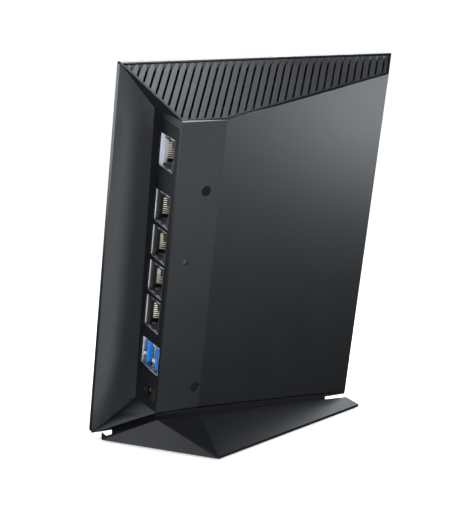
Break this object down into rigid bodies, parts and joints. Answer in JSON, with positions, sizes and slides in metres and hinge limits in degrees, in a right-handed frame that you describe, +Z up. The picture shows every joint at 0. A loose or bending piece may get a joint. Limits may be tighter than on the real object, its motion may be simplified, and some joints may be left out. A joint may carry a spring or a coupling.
{
  "type": "wireless router",
  "caption": "Upright wireless router: leaning flat front panel, faceted rear casing with a side bay of network, USB and power sockets, ribbed top vent and a low faceted stand.",
  "frame": {"origin": "on the table, at the middle of the whole object's footprint box", "axes": "+Z up, -Y towards the front panel's side, +X towards the socket bay"},
  "size_m": [0.149, 0.069, 0.1876],
  "materials": {
    "panel": "satin black with a fine moulded texture",
    "casing": "fine matt grain",
    "grille": "fine matt grain",
    "bay": "fine matt grain",
    "frame": "plain moulded",
    "board": "solder mask",
    "chip": "plain moulded",
    "pad": "soft",
    "shield": "bright plated steel",
    "fastener": "zinc plated",
    "dark_fastener": "blackened",
    "contact": "gold plated",
    "jack_light": "plain moulded",
    "jack_dark": "plain moulded",
    "usb_tongue": "plain moulded",
    "sink": "extruded",
    "coil": "ferrite",
    "capacitor": "sleeved can",
    "lens": "clear",
    "led": "clear",
    "button": "plain moulded",
    "rubber": "soft matt",
    "tape": "foam tape",
    "cable": "smooth jacket",
    "stand": "fine matt grain",
    "ballast": "plain"
  },
  "bodies": {
    "router": {"front_panel": "panel", "indicator_lenses": "lens", "light_guides": "lens", "status_leds": "led", "inner_frame": "frame", "rear_casing": "casing", "vent_grille": "grille", "port_plate": "bay", "main_board": "board", "wan_shield": "shield", "wan_insert": "jack_light", "wan_contacts": "contact", "lan_shields": "shield", "lan_inserts": "jack_dark", "lan_contacts": "contact", "usb_shell": "shield", "usb_tongues": "usb_tongue", "usb_contacts": "contact", "power_inlet": "jack_dark", "inlet_pin": "shield", "inlet_spring": "shield", "power_switch": "jack_dark", "reset_switch": "jack_dark", "processor": "chip", "thermal_pad": "pad", "heatsink": "sink", "heatsink_pins": "fastener", "memory_chips": "chip", "radio_chips": "chip", "shield_cans": "shield", "capacitors": "capacitor", "power_coils": "coil", "board_screws": "fastener", "casing_screws": "fastener", "rear_screw": "dark_fastener", "screw_plugs": "rubber", "panel_tape": "tape", "antennas": "board", "antenna_leads": "cable", "stand_base": "stand", "stand_neck": "bay", "stand_ballast": "ballast", "stand_bottom": "bay", "stand_screws": "fastener", "stand_feet": "rubber"},
    "power_button": {"power_button": "button"},
    "reset_button": {"reset_button": "button"}
  },
  "joints": [
    {"name": "power_press", "type": "slide", "parent": "router", "child": "power_button", "axis": [-1, 0, 0], "range_m": [0, 0.0012], "stiffness_N_per_m": 400},
    {"name": "reset_press", "type": "slide", "parent": "router", "child": "reset_button", "axis": [-1, 0, 0], "range_m": [0, 0.0006], "stiffness_N_per_m": 600}
  ]
}
